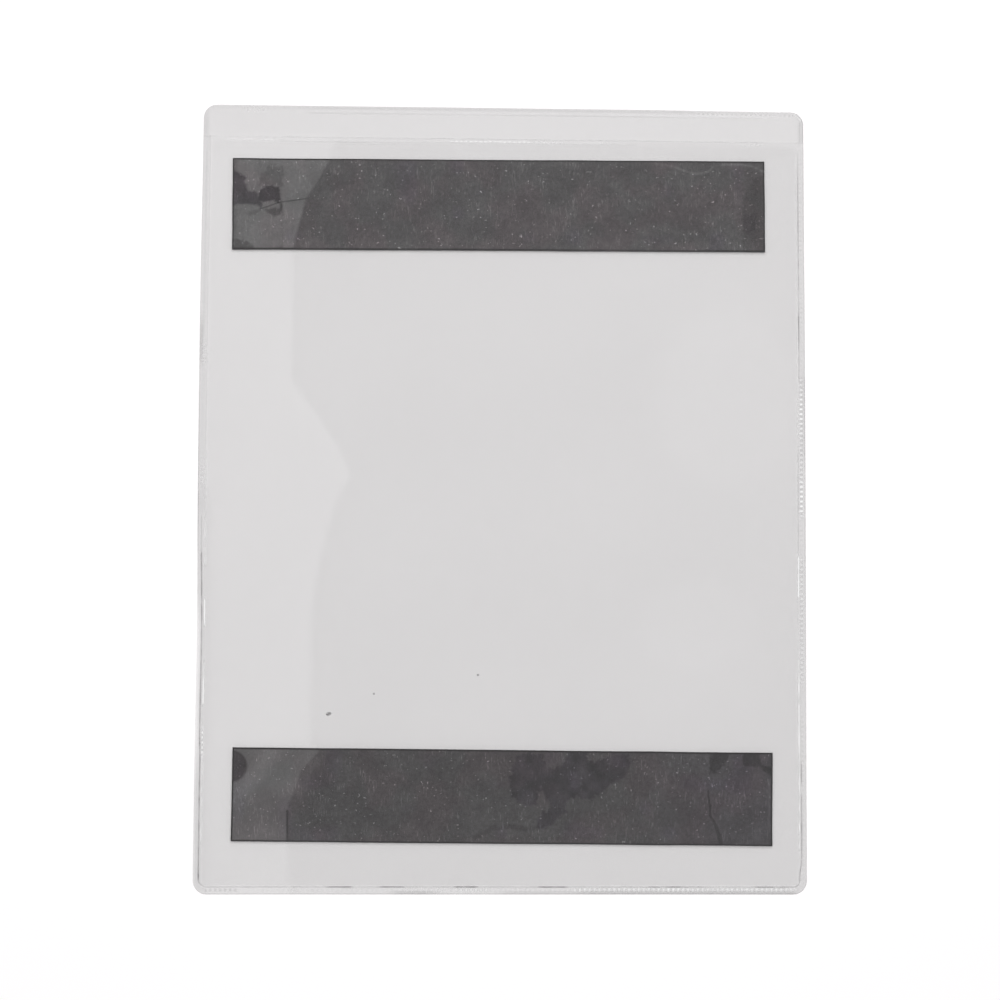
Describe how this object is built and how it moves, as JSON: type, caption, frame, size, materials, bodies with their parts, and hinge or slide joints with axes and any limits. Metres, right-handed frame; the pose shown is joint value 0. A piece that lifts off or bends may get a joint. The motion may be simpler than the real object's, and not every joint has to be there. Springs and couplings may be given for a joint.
{
  "type": "magnetic job ticket holder",
  "caption": "Flat clear film pocket with an open top below a lip, welded round its other sides, with magnet strips across its back near the top and the bottom.",
  "frame": {"origin": "centre of the outline, on the surface that the magnet strips' back faces lie on", "axes": "+X across the holder, to the right as seen from its front; +Y along it, towards the mouth and the lip; +Z out of its front, away from the magnets"},
  "size_m": [0.23, 0.298, 0.0026],
  "materials": {
    "clear_film": "clear flexible vinyl film, glossy, with faint patches where the two sheets cling",
    "welded_film": "clear vinyl pressed into a knurled heat seal",
    "magnet_rubber": "dark grey ferrite-filled rubber, matt, with fine streaks across"
  },
  "bodies": {
    "root": {"back_sheet": "clear_film", "front_sheet": "clear_film", "left_weld": "welded_film", "bottom_weld": "welded_film", "right_weld": "welded_film", "upper_magnet_strip": "magnet_rubber", "lower_magnet_strip": "magnet_rubber"}
  },
  "joints": []
}
